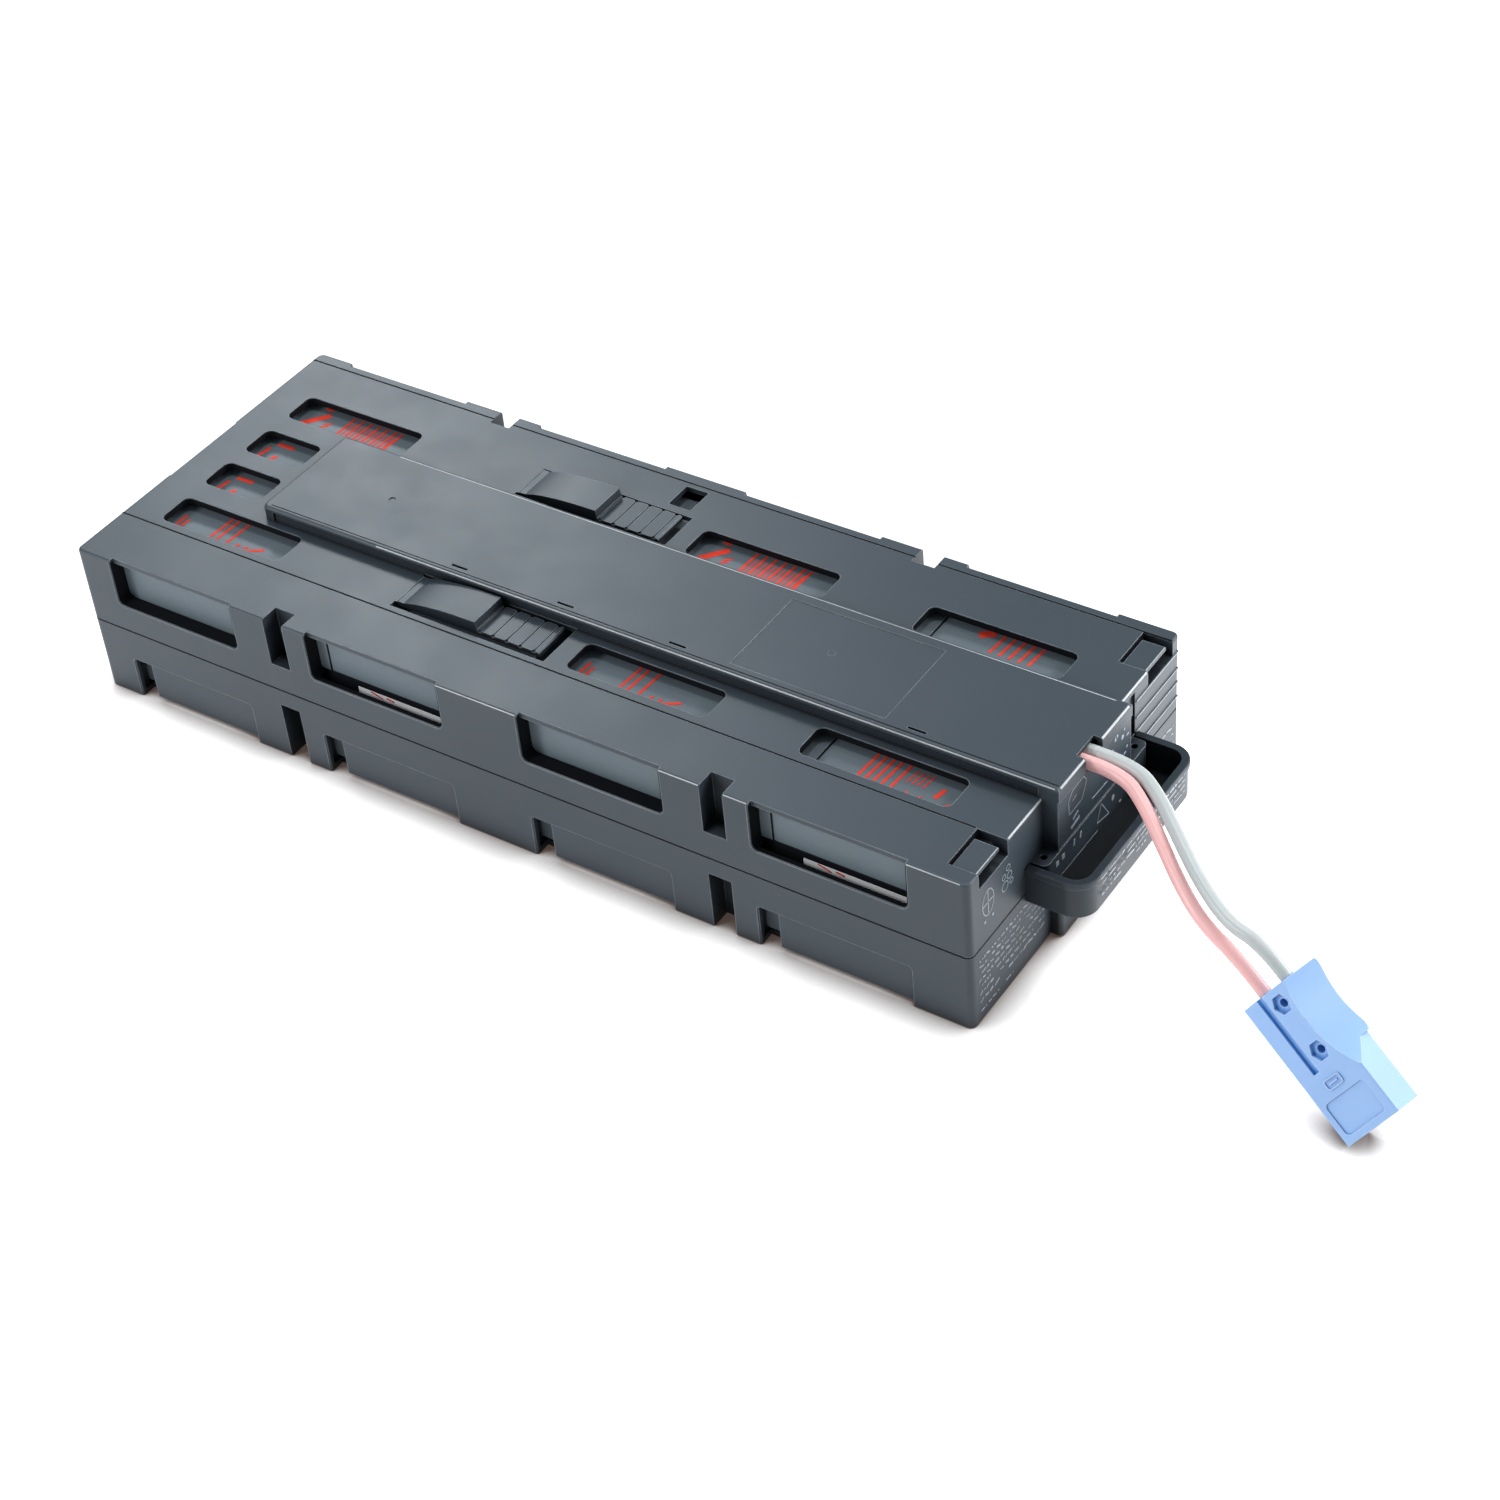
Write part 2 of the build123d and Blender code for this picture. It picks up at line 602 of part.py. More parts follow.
latch_front = latch(finger_rows[0])
save(latch_front, "latch_front")
latch_rear = latch(finger_rows[1])
save(latch_rear, "latch_rear")

# ----------------------------------------------------------- battery connector
plug_plane = Plane(origin=spot(*plug_corner), x_dir=plug_axis, z_dir=plug_face)
rear_width = plug_width - 1.8
flange_length = 31.5
groove_row = 9.3
bolt_places = ((6.4, 16.0), (27.0, 16.6))
bolt_radius = 1.65
nut_pocket = 3.5
socket_rows = (8.4, 20.6)
socket_size = (22.0, 9.0, 9.0)
grip_radius = 45.0

with BuildPart(plug_plane) as plug_housing:
    with Locations((plug_length / 2, rear_width / 2, -plug_depth / 2)):
        Box(plug_length, rear_width, plug_depth)
    with Locations((flange_length / 2, plug_width / 2, -plug_depth / 2)):
        Box(flange_length, plug_width, plug_depth)
    lengthwise = Axis(plug_plane.origin, plug_plane.x_dir)
    fillet(plug_housing.edges().filter_by(lengthwise), 0.8)
    with Locations(Location((15.5, plug_width - 4.2 + grip_radius, 0), (26.6, 0, 0))):
        Cylinder(grip_radius, 60.0, mode=Mode.SUBTRACT)
    with Locations((16.0, groove_row, 0)):
        Box(34.0, 3.0, 3.0, mode=Mode.SUBTRACT)
    for x, y in bolt_places:
        with Locations((x, y, 0)):
            Cylinder(bolt_radius, 40.0, mode=Mode.SUBTRACT)
        with BuildSketch(plug_plane) as pocket:
            with Locations((x, y)):
                RegularPolygon(nut_pocket, 6, major_radius=False, rotation=30)
        extrude(amount=-1.7, mode=Mode.SUBTRACT)
    with BuildSketch(plug_plane) as panel:
        with Locations((50.3, 13.8)):
            RectangleRounded(13.4, 21.5, 2.0)
    extrude(amount=-0.5, mode=Mode.SUBTRACT)
    with BuildSketch(plug_plane) as emblem:
        with Locations((38.6, 13.4)):
            RectangleRounded(4.4, 8.6, 1.2)
            RectangleRounded(3.0, 7.2, 0.7, mode=Mode.SUBTRACT)
            Rectangle(0.8, 4.4)
    extrude(amount=0.4)
    for y in socket_rows:
        with Locations((plug_length - socket_size[0] / 2 + 0.5, y, -plug_depth / 2)):
            Box(socket_size[0] + 1.0, socket_size[1], socket_size[2], mode=Mode.SUBTRACT)
save(plug_housing, "plug_housing")

with BuildPart(plug_plane) as plug_contacts:
    for y in socket_rows:
        with Locations((plug_length - socket_size[0] / 2 - 2.0, y, -plug_depth / 2)):
            Box(socket_size[0] - 4.0, 7.0, 1.6)
save(plug_contacts, "plug_contacts")


# ------------------------------------------------------------------ free leads
def lead_route(points, row):
    """The route's points, ended straight into the connector's rear face."""
    entry = plug_plane.from_local_coords(Vector(0, row, -entry_depth))
    approach = plug_plane.from_local_coords(Vector(-15, row, -entry_depth))
    return [spot(*point) for point in points] + [approach, entry]


positive_route = lead_route(
    [(442.0, 79.0, 75.2), (456.0, 79.0, 75.2), (469.0, 70.6, 72.2), (481.8, 60.2, 66.6),
     (494.6, 49.8, 60.8), (507.6, 41.6, 55.0)],
    lead_entries[0])
negative_route = lead_route(
    [(442.0, 85.2, 75.2), (458.0, 85.2, 75.2), (472.6, 75.8, 73.4), (487.4, 62.8, 69.4),
     (502.6, 50.4, 64.4), (518.4, 41.2, 59.6)],
    lead_entries[1])
positive_lead = wire(positive_route, lead_diameter)
save(positive_lead, "positive_lead")
negative_lead = wire(negative_route, lead_diameter)
save(negative_lead, "negative_lead")
for name, route in (("positive", positive_route), ("negative", negative_route)):
    print(name, [tuple(round(value, 1) for value in point) for point in route])
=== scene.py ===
"""Looks of a rack power supply's battery cartridge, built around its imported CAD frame."""
import math
import random

import bmesh
import bpy
from mathutils import Matrix, Vector


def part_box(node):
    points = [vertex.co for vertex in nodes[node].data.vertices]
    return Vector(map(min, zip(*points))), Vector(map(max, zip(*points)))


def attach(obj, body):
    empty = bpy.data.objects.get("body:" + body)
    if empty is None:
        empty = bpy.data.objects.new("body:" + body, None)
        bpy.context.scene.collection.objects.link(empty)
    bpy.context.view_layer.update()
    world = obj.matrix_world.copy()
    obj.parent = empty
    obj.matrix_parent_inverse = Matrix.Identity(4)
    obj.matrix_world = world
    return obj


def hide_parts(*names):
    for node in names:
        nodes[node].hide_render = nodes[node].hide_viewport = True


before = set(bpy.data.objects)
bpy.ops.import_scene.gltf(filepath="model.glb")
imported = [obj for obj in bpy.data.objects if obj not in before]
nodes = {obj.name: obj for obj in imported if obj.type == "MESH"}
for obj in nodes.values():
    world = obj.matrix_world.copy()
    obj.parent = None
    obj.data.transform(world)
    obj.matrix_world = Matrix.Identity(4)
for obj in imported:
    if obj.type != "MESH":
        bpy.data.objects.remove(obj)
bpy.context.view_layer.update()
scene = bpy.context.scene

# Stations are in millimetres from the blind end, the front long side and the floor.
MM = 0.001
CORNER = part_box("lower_shell")[0]


def spot(x, y, z=0.0):
    """The point at three stations, in metres in the part's frame."""
    return CORNER + Vector((x, y, z)) * MM


def stations(node):
    """A CAD node's lowest and highest stations."""
    return [[round(value, 3) for value in (corner - CORNER) / MM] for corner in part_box(node)]


SHELL_END, WIDTH, SEAM = stations("lower_shell")[1]
TOP = stations("upper_shell")[1][2]
LEDGE_END, _, DUCT_TOP = stations("duct_cover")[1]
DUCT_END = LEDGE_END - 0.6
TRAY_END = stations("pull_tray")[1][0]
BATTERY_SIDE = stations("battery_case_1")[0][1]
BATTERY_TOP = stations("battery_case_1")[1][2]
LID_SIDE = stations("battery_lid_1")[0][1]
LID_JOINTS = [stations(f"battery_lid_{number}")[1][0] for number in (2, 4)]

# Openings in the shell, as spans of stations
TOP_WINDOWS = (
    ((18.4, 83.6), (33.4, 51.2)), ((17.6, 48.7), (62.2, 79.6)),
    ((17.6, 48.7), (89.2, 106.7)), ((18.2, 83.0), (117.8, 135.2)),
    ((231.2, 298.3), (33.6, 51.0)), ((231.2, 298.3), (117.4, 135.0)),
    ((340.2, 407.4), (33.6, 51.0)), ((340.2, 407.4), (117.4, 134.8)))
TOP_WINDOW_CORNER = 3.5
SIDE_WINDOWS = ((18.8, 84.5), (124.6, 191.8), (232.0, 299.0), (340.0, 408.4))
SIDE_WINDOW_CORNER = 3.0
SIDE_SILL = 50.7
SHELL_CORNER = 3.0
TONGUE_TOP = 72.9
STICKER_TOP = 49.1

# The faces that thin pieces lie on: the direction across and the direction along
UPWARD = ((1, 0, 0), (0, 1, 0))
FORWARD = ((1, 0, 0), (0, 0, 1))
BACKWARD = ((-1, 0, 0), (0, 0, 1))
CABLE_END = ((0, 1, 0), (0, 0, 1))
FRONT_TILT = ((1, 0, 0), (0, 1, 1))
END_TILT = ((0, 1, 0), (-1, 0, 1))


# ---------------------------------------------------------------- camera
CAMERA_AT = Vector((0.63683, -0.77727, 0.84919))
AZIMUTH = math.radians(37.0132)
ELEVATION = math.radians(40.6508)
ROLL = math.radians(-5.82157)


def add_camera():
    back = Vector((math.sin(AZIMUTH) * math.cos(ELEVATION),
                   -math.cos(AZIMUTH) * math.cos(ELEVATION), math.sin(ELEVATION)))
    right = Vector((math.cos(AZIMUTH), math.sin(AZIMUTH), 0.0))
    up = back.cross(right)
    rolled_right = right * math.cos(ROLL) + up * math.sin(ROLL)
    rolled_up = -right * math.sin(ROLL) + up * math.cos(ROLL)
    data = bpy.data.cameras.new("camera")
    data.lens = 75.19
    data.sensor_width = 36.0
    data.clip_start = 0.01
    data.clip_end = 50.0
    camera = bpy.data.objects.new("camera", data)
    turn = Matrix((rolled_right, rolled_up, back)).transposed().to_4x4()
    camera.matrix_world = Matrix.Translation(CAMERA_AT) @ turn
    scene.collection.objects.link(camera)
    scene.camera = camera


add_camera()

# ------------------------------------------------------------- free leads
LEAD_DIAMETER = 5.5 * MM
POSITIVE_ROUTE = [
    (211.0, -3.5, 75.2), (225.0, -3.5, 75.2), (238.0, -11.9, 72.2), (250.8, -22.3, 66.6),
    (263.6, -32.7, 60.8), (276.6, -40.9, 55.0), (294.6, -46.3, 49.0), (306.8, -50.0, 41.2)]
NEGATIVE_ROUTE = [
    (211.0, 2.7, 75.2), (227.0, 2.7, 75.2), (241.6, -6.7, 73.4), (256.4, -19.7, 69.4),
    (271.6, -32.1, 64.4), (287.4, -41.3, 59.6), (301.5, -44.3, 59.0), (313.8, -48.0, 51.3)]


def add_lead(name, route):
    data = bpy.data.curves.new(name, "CURVE")
    data.dimensions = "3D"
    data.bevel_depth = 1.0
    data.bevel_resolution = 8
    data.use_fill_caps = True
    spline = data.splines.new("NURBS")
    spline.points.add(len(route) - 1)
    for point, place in zip(spline.points, route):
        point.co = (*(Vector(place) * MM), 1.0)
        point.radius = LEAD_DIAMETER / 2
    spline.order_u = 3
    spline.use_endpoint_u = True
    spline.resolution_u = 16
    lead = bpy.data.objects.new(name, data)
    scene.collection.objects.link(lead)
    return lead


positive = add_lead("lead_positive", POSITIVE_ROUTE)
negative = add_lead("lead_negative", NEGATIVE_ROUTE)
for lead, node, length in ((positive, "positive_lead", 0.115), (negative, "negative_lead", 0.121)):
    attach(lead, "root")
    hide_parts(node)


# -------------------------------------------------------------- materials
class Shader:
    """A material's node tree, with short calls for the nodes it is made of."""

    def __init__(self, name):
        self.material = bpy.data.materials.new(name)
        self.material.use_nodes = True
        self.tree = self.material.node_tree
        self.surface = self.tree.nodes["Principled BSDF"]
        self.place = self.node("ShaderNodeTexCoord").outputs["Object"]

    def node(self, kind, inputs=None, **settings):
        made = self.tree.nodes.new(kind)
        for key, value in settings.items():
            setattr(made, key, value)
        for key, value in (inputs or {}).items():
            self.put(made.inputs[key], value)
        return made

    def put(self, socket, value):
        if isinstance(value, bpy.types.NodeSocket):
            self.tree.links.new(value, socket)
        else:
            socket.default_value = value

    def noise(self, scale, detail, rough=0.55):
        made = self.node("ShaderNodeTexNoise",
                         {"Vector": self.place, "Scale": scale, "Detail": detail,
                          "Roughness": rough})
        return made.outputs["Fac"]

    def math(self, operation, a, b, clamp=False):
        made = self.node("ShaderNodeMath", {0: a, 1: b}, operation=operation)
        made.use_clamp = clamp
        return made.outputs[0]

    def spread(self, value, low, high, start=0.3, end=0.7):
        made = self.node("ShaderNodeMapRange",
                         {"Value": value, "From Min": start, "From Max": end,
                          "To Min": low, "To Max": high})
        return made.outputs["Result"]

    def mix(self, share, a, b):
        made = self.node("ShaderNodeMix", data_type="RGBA")
        self.put(made.inputs[0], share)
        self.put(made.inputs[6], a)
        self.put(made.inputs[7], b)
        return made.outputs[2]


def tone(colour, factor):
    """A colour made lighter or darker."""
    return (*(min(1.0, channel * factor) for channel in colour), 1.0)


EDGE_RADIUS = 0.6 * MM


def surface(name, colour, rough=0.42, *, vary=0.06, mottle=0.08, grain=0.25, grain_scale=1500.0,
            edge=0.0, edge_colour=None, specks=0.0, metallic=0.0, specular=0.5, subsurface=0.0,
            painted_hollow_shade=0.0, reach=12.0 * MM, shade_colour=(0.003, 0.004, 0.006, 1.0)):
    """A moulded or worked surface: drifting colour, fine grain, edge wear mixed with painted
    highlights, and, when asked, painted shade in its hollows.
    """
    s = Shader(name)
    drift = s.spread(s.noise(11.0, 4.0), 0.0, 1.0)
    base = s.mix(drift, tone(colour, 1.0 - vary), tone(colour, 1.0 + vary))
    spots = s.spread(s.noise(420.0, 5.0, 0.65), 0.0, 1.0, 0.35, 0.65)
    base = s.mix(s.math("MULTIPLY", spots, mottle), base, tone(colour, 1.6))
    rounded = s.node("ShaderNodeBevel", {"Radius": EDGE_RADIUS}, samples=4).outputs[0]
    shade = 1.0
    s.surface.inputs["Specular IOR Level"].default_value = specular
    # Painted shade: where ambient occlusion finds the surface hemmed in, its colour darkens
    # towards the shade colour.
    if painted_hollow_shade:
        open_share = s.node("ShaderNodeAmbientOcclusion", {"Distance": reach},
                            samples=4).outputs["AO"]
        shade = s.spread(open_share, 1.0 - painted_hollow_shade, 1.0, 0.47, 0.82)
        base = s.mix(shade, shade_colour, base)
    # Edge wear mixed with painted highlights: exposed edges are lightened towards the edge colour,
    # broken up by noise.
    if edge:
        flat = s.node("ShaderNodeNewGeometry").outputs["Normal"]
        dot = s.node("ShaderNodeVectorMath", {0: rounded, 1: flat}, operation="DOT_PRODUCT")
        turned = s.math("SUBTRACT", 1.0, dot.outputs["Value"])
        edge_breakup = s.spread(s.noise(70.0, 6.0, 0.7), 0.45, 1.0, 0.35, 0.6)
        mask = s.math("MULTIPLY", s.math("MULTIPLY", turned, 16.0, True), edge_breakup)
        mask = s.math("MULTIPLY", s.math("MULTIPLY", mask, edge, True), shade)
        base = s.mix(mask, base, edge_colour or tone(colour, 5.0))
    if specks:
        cells = s.node("ShaderNodeTexVoronoi", {"Vector": s.place, "Scale": 42.0})
        near = s.math("LESS_THAN", cells.outputs["Distance"], 0.022)
        rare = s.math("GREATER_THAN",
                      s.node("ShaderNodeSeparateColor",
                             {0: cells.outputs["Color"]}).outputs[0], 0.62)
        dust = s.math("MULTIPLY", s.math("MULTIPLY", near, rare), specks)
        base = s.mix(dust, base, (0.55, 0.58, 0.6, 1.0))
    s.put(s.surface.inputs["Base Color"], base)
    smudge = s.spread(s.noise(30.0, 5.0, 0.6), rough - 0.02, rough + 0.03)
    s.put(s.surface.inputs["Roughness"], smudge)
    bump = s.node("ShaderNodeBump",
                  {"Strength": grain, "Distance": 0.05 * MM,
                   "Height": s.noise(grain_scale, 2.0), "Normal": rounded})
    s.put(s.surface.inputs["Normal"], bump.outputs[0])
    s.surface.inputs["Metallic"].default_value = metallic
    if subsurface:
        s.surface.inputs["Subsurface Weight"].default_value = subsurface
        s.surface.inputs["Subsurface Scale"].default_value = 1.5 * MM
    return s.material


SHELL = (0.027, 0.039, 0.051)
# The shell and the tray darken to painted shade in their hollows, and their edge wear is mixed
# with painted highlights.
shell = surface("shell", SHELL, 0.45, edge=0.9, edge_colour=(0.28, 0.33, 0.36, 1.0), specks=0.8,
                grain=0.3, painted_hollow_shade=0.94, specular=0.41)
tray_plastic = surface("tray_plastic", (0.022, 0.031, 0.040), 0.42, edge=0.7, painted_hollow_shade=0.96,
                       reach=20.0 * MM, specular=0.33)
battery_plastic = surface("battery_plastic", (0.115, 0.145, 0.165), 0.5, grain=0.4,
                          grain_scale=900.0, edge=0.25, specular=0.28)
lid_plastic = surface("lid_plastic", (0.110, 0.136, 0.153), 0.5, grain=0.4, edge=0.25,
                      specular=0.28)
plates = surface("plates", (0.16, 0.17, 0.18), 0.7, mottle=0.3)
tin = surface("tin", (0.72, 0.70, 0.66), 0.3, metallic=1.0, grain=0.1)
brass = surface("brass", (0.74, 0.62, 0.40), 0.32, metallic=1.0, grain=0.1)
steel = surface("steel", (0.55, 0.55, 0.54), 0.34, metallic=1.0, grain=0.15, edge=0.3)
sleeve = surface("sleeve", (0.30, 0.02, 0.02), 0.4, subsurface=0.1)
link_jacket = surface("link_jacket", (0.03, 0.03, 0.032), 0.45)
fuse_plastic = surface("fuse_plastic", (0.02, 0.02, 0.022), 0.35, edge=0.4)
foam = surface("foam", (0.16, 0.18, 0.19), 0.9, grain=1.0, grain_scale=700.0, mottle=0.4)
sticker = surface("sticker", (0.98, 0.98, 0.98), 0.35, vary=0.02, mottle=0.0, grain=0.1)
pink = surface("pink_jacket", (0.80, 0.44, 0.43), 0.34, vary=0.08, mottle=0.05, grain=0.2,
               subsurface=0.2)
grey = surface("grey_jacket", (0.44, 0.47, 0.465), 0.34, vary=0.08, mottle=0.05, grain=0.2,
               subsurface=0.1)
# The plug turns a deeper blue in its hollows as painted shade, and its edges carry near-white
# painted highlights.
blue = surface("plug_blue", (0.29, 0.47, 0.79), 0.42, vary=0.06, mottle=0.04, grain=0.3,
               edge=0.6, edge_colour=(0.85, 0.93, 1.0, 1.0), subsurface=0.12, painted_hollow_shade=1.0,
               reach=4.0 * MM, shade_colour=(0.06, 0.27, 0.66, 1.0))
red_ink = surface("red_ink", (0.80, 0.055, 0.030), 0.6, vary=0.25, mottle=0.1, grain=0.2,
                  specular=0.12)
shadow_line = surface("shadow_line", (0.006, 0.007, 0.009), 0.6, grain=0.1, specular=0.08)
# Painted highlight: pale strips laid along rounded edges where they catch the light.
painted_edge_highlight = surface("painted_edge_highlight", (0.40, 0.42, 0.43), 0.40, vary=0.30, mottle=0.25, grain=0.2)
# Painted highlight: the moulded relief and the rib edges, made pale as if catching the light.
painted_relief_highlight = surface("painted_relief_highlight", (0.22, 0.26, 0.30), 0.42, vary=0.4, mottle=0.1, grain=0.2,
                   edge=0.4, edge_colour=(0.5, 0.56, 0.6, 1.0))

finish = {
    "upper_shell": shell, "lower_shell": shell, "duct_cover": shell, "pull_tray": tray_plastic,
    "latch_front": shell, "latch_rear": shell, "battery_stickers": sticker,
    "foam_spacers": foam, "receptacles": sleeve, "jumper_front": link_jacket,
    "jumper_rear": link_jacket, "link_to_fuse": link_jacket, "link_from_fuse": link_jacket,
    "fuse_holder": fuse_plastic, "fuse_cap": fuse_plastic, "inner_negative_lead": grey,
    "inner_positive_lead": pink, "cable_clamp": fuse_plastic, "shell_screws": steel,
    "tray_screws": steel, "plug_housing": blue, "plug_contacts": brass,
    "positive_lead": pink, "negative_lead": grey}
for number in range(1, 5):
    finish[f"battery_case_{number}"] = battery_plastic
    finish[f"battery_lid_{number}"] = lid_plastic
    finish[f"vent_cover_{number}"] = lid_plastic
    finish[f"plate_stacks_{number}"] = plates
    finish[f"terminals_{number}"] = tin
for name, material in finish.items():
    data = nodes[name].data
    data.materials.clear()
    data.materials.append(material)
positive.data.materials.append(pink)
negative.data.materials.append(grey)


# ------------------------------------------------------------- flat shapes
def stroke(start, end, width):
    """A straight bar of a given width."""
    a, b = Vector(start), Vector(end)
    side = (b - a).normalized().orthogonal() * width / 2
    return [tuple(a + side), tuple(a - side), tuple(b - side), tuple(b + side)]


def outline(points, width, closed=True):
    """Bars along the sides of a figure."""
    following = points[1:] + points[:1] if closed else points[1:]
    return [stroke(a, b, width) for a, b in zip(points, following)]


def ellipse(centre, across, along, count=12):
    """A round figure with the given half widths."""
    return [(centre[0] + across * math.cos(2 * math.pi * i / count),
             centre[1] + along * math.sin(2 * math.pi * i / count)) for i in range(count)]


def rectangle(x0, x1, y0, y1):
    return [(x0, y0), (x1, y0), (x1, y1), (x0, y1)]


def rounded_rectangle(x_span, y_span, corner, steps=4):
    """A rectangle with round corners, from its upper right corner and counterclockwise."""
    points = []
    low_x, high_x = x_span[0] + corner, x_span[1] - corner
    low_y, high_y = y_span[0] + corner, y_span[1] - corner
    for quarter, (x, y) in enumerate(((high_x, high_y), (low_x, high_y), (low_x, low_y),
                                      (high_x, low_y))):
        for i in range(steps + 1):
            angle = math.pi / 2 * (quarter + i / steps)
            points.append((x + corner * math.cos(angle), y + corner * math.sin(angle)))
    return points


def rows_of_dashes(span, levels, longest, width, seed, rise=0.0):
    """Rows of plain dashes of uneven length, as moulded relief."""
    chance = random.Random(seed)
    dashes = []
    for level in levels:
        y = span[0] + chance.uniform(0.0, 2.0)
        while y < span[1]:
            length = chance.uniform(0.8, longest)
            lift = chance.uniform(-rise, rise)
            thick = width * chance.uniform(0.6, 1.2)
            if chance.random() < 0.85:
                dashes.append(stroke((y, level + lift), (min(y + length, span[1]), level - lift),
                                     thick))
            y += length + chance.uniform(0.5, 1.4)
    return dashes


def add_prisms(name, figures, origin, plane, low, high, material):
    """Flat figures, in millimetres on a plane, raised from one height over it to another."""
    across, along = (Vector(direction).normalized() for direction in plane)
    out = across.cross(along)
    mesh = bmesh.new()
    for figure in figures:
        rings = []
        for level in (low, high):
            rings.append([mesh.verts.new(origin + (across * u + along * v + out * level) * MM)
                          for u, v in figure])
        mesh.faces.new(rings[1])
        mesh.faces.new(list(reversed(rings[0])))
        for i in range(len(figure)):
            j = (i + 1) % len(figure)
            mesh.faces.new((rings[0][i], rings[0][j], rings[1][j], rings[1][i]))
    bmesh.ops.recalc_face_normals(mesh, faces=mesh.faces)
    data = bpy.data.meshes.new(name)
    mesh.to_mesh(data)
    mesh.free()
    data.materials.append(material)
    piece = bpy.data.objects.new(name, data)
    scene.collection.objects.link(piece)
    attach(piece, "root")
    return piece


def add_lines(name, lines, origin, plane, material, width, high=0.03):
    """Thin lines that lie flush on a plane."""
    add_prisms(name, [stroke(a, b, width) for a, b in lines], origin, plane, -0.03, high,
               material)


# ------------------------------------------------- red marks on the batteries
MARK_REPEAT = 213.6


def bars(xs, low, high, lean=1.2, width=1.3):
    """Leaning bars side by side."""
    return [stroke((x, low), (x + lean, high), width) for x in xs]


window_marks = []
for x in (0.0, MARK_REPEAT):
    window_marks += [stroke((x + 19.0, 122.0), (x + 29.5, 134.4), 3.2),
                     stroke((x + 24.0, 138.0), (x + 28.0, 138.0), 2.0),
                     stroke((x + 30.5, 127.6), (x + 34.0, 129.6), 1.2),
                     stroke((x + 30.0, 125.4), (x + 33.0, 127.4), 1.2)]
    window_marks += bars([x + 40.0, x + 44.6, x + 49.2, x + 53.8, x + 58.4, x + 63.0, x + 66.4],
                         120.0, 138.0)
    window_marks += bars([x + 42.2, x + 46.8, x + 51.4, x + 56.0, x + 60.6, x + 65.2],
                         122.0, 134.0, width=0.7)
    window_marks += [stroke((x + 20.0, 36.0), (x + 20.6, 47.0), 1.4),
                     stroke((x + 23.0, 38.0), (x + 23.4, 45.0), 1.2)]
    window_marks += bars([x + 39.5, x + 43.0, x + 48.5], 37.0, 55.0)
    window_marks += bars([x + 53.5, x + 57.6], 37.0, 41.5)
    window_marks += [stroke((x + 59.0, 38.4), (x + 67.0, 43.0), 1.6),
                     stroke((x + 63.0, 38.0), (x + 66.4, 38.2), 1.6)]
for y in (66.0, 94.0):
    window_marks += [stroke((19.0, y), (20.4, y + 9.0), 1.8),
                     stroke((22.0, y + 12.4), (31.0, y + 12.6), 2.2),
                     stroke((26.0, y + 1.5), (27.4, y + 5.0), 1.8)]
window_marks.append(stroke((362.0, 134.0), (368.0, 138.0), 4.0))
window_marks += bars((371.0, 375.4, 379.8, 384.2, 388.6), 126.0, 138.6)
window_marks += bars((363.5, 367.0, 370.5, 374.0, 378.0), 38.0, 54.0)
window_marks += bars((382.0, 384.4, 386.8, 389.2), 45.0, 52.5, width=0.7)
window_marks += bars((384.0, 390.0), 37.0, 40.4)
window_marks += [stroke((396.0, 42.0), (397.4, 48.0), 2.0),
                 stroke((401.0, 37.5), (404.0, 41.0), 3.0)]
add_prisms("battery_marks", window_marks, spot(0, 0, BATTERY_TOP), UPWARD, -0.02, 0.06,
           red_ink)

# ---------------------------------- generic relief on the cable end, ledge and tray, painted pale as highlights
end_marks = rows_of_dashes((5.0, 54.0), (31.0, 27.8, 24.6, 21.4, 18.2, 14.6, 10.6), 3.6, 1.0, 7,
                           0.6)
end_marks += rows_of_dashes((5.5, 30.0), (5.4,), 4.0, 0.7, 3, 0.2)
end_marks += rows_of_dashes((132.0, 160.0), (30.0, 26.0, 21.0, 15.0, 9.0), 4.5, 0.9, 11, 0.5)
end_marks += outline(ellipse((13.6, 55.4), 4.2, 6.2), 0.45)
end_marks += [stroke((9.4, 55.4), (17.8, 55.4), 0.5), stroke((13.6, 50.0), (13.6, 61.5), 0.5)]
for centre in ((11.0, 47.2), (16.6, 46.8)):
    end_marks.append(ellipse(centre, 0.7, 0.7, 8))
for centre, radius in (((26.0, 53.0), 2.3), ((29.4, 56.2), 1.7), ((28.6, 60.4), 1.4),
                       ((25.4, 57.8), 1.3), ((30.6, 52.4), 1.2)):
    end_marks += outline(ellipse(centre, radius, radius, 8), 0.4)

ledge_marks = [stroke((y, 44.2), (y, 46.8), 2.2) for y in (52.7, 57.2)]
ledge_marks += [stroke((y, 44.4), (y + 0.5, 47.4), 1.2) for y in (65.4, 70.4)]
ledge_marks += outline([(87.0, 48.6), (93.0, 39.0), (83.4, 41.0)], 0.45)
ledge_marks += [ellipse((96.2, 44.4), 1.2, 1.5, 8), stroke((101.0, 38.4), (102.8, 38.0), 1.0)]
ledge_marks += outline([(46.0, 37.4), (84.0, 37.2)], 0.4, False)

duct_marks = outline([(63.4, 61.2), (62.8, 68.0), (66.0, 71.4), (74.5, 72.0), (76.8, 68.6),
                      (73.0, 61.6)], 0.5)
duct_marks += [stroke((66.0, 66.4), (69.0, 67.2), 0.5), stroke((81.0, 55.6), (93.0, 55.0), 0.5),
               stroke((64.5, 53.6), (71.0, 54.6), 1.6), stroke((66.0, 57.0), (70.0, 58.4), 1.0)]
chance = random.Random(5)
for _ in range(13):
    centre = (chance.uniform(97.0, 110.0), chance.uniform(56.0, 72.0))
    duct_marks.append(ellipse(centre, chance.uniform(0.5, 1.3), chance.uniform(0.5, 1.3), 7))

